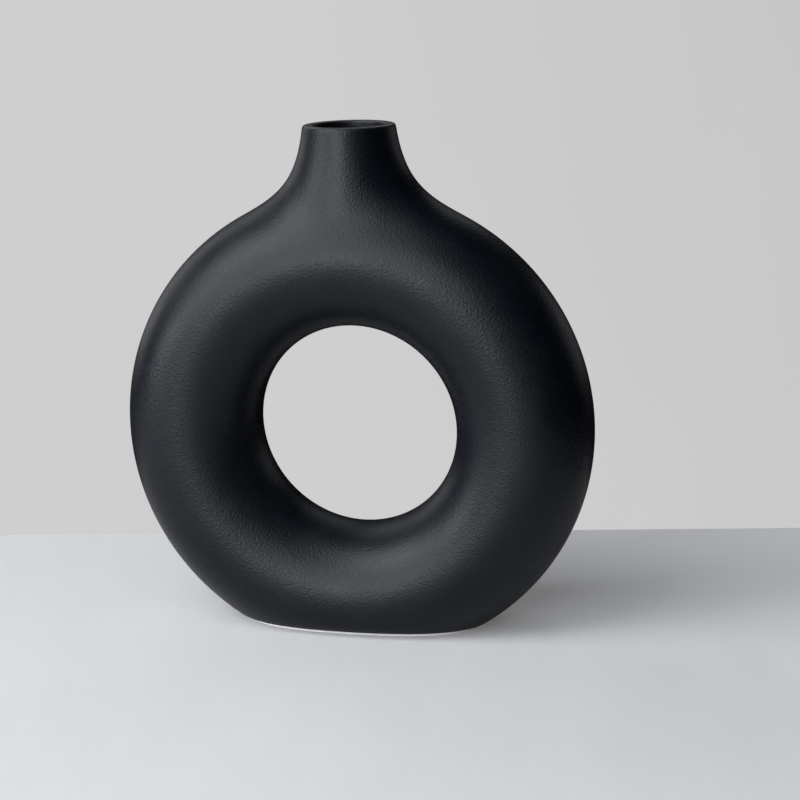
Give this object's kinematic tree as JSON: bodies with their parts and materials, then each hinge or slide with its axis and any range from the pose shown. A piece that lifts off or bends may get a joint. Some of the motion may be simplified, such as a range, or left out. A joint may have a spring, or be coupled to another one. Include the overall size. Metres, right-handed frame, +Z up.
{
  "type": "donut vase",
  "caption": "Hollow ceramic ring standing on edge, with a flared neck and round mouth on top, an open centre hole and a flat bare clay foot, glazed matte black inside and out.",
  "frame": {"origin": "middle of the flat foot, on the table", "axes": "+Z up through the mouth, the centre hole runs along Y, the ring is widest along X"},
  "size_m": [0.2, 0.057, 0.212],
  "materials": {
    "clay": "bare fired clay, smooth and dry",
    "slip": "fired joining slip",
    "outer_glaze": "matte black with a fine leathery grain",
    "liner_glaze": "satin black, watertight"
  },
  "bodies": {
    "root": {"front_half": "clay", "back_half": "clay", "neck_collar": "clay", "base_slab": "clay", "ring_joint_slip": "slip", "neck_joint_slip": "slip", "base_joint_slip": "slip", "outer_glaze": "outer_glaze", "liner_glaze": "liner_glaze"}
  },
  "joints": []
}
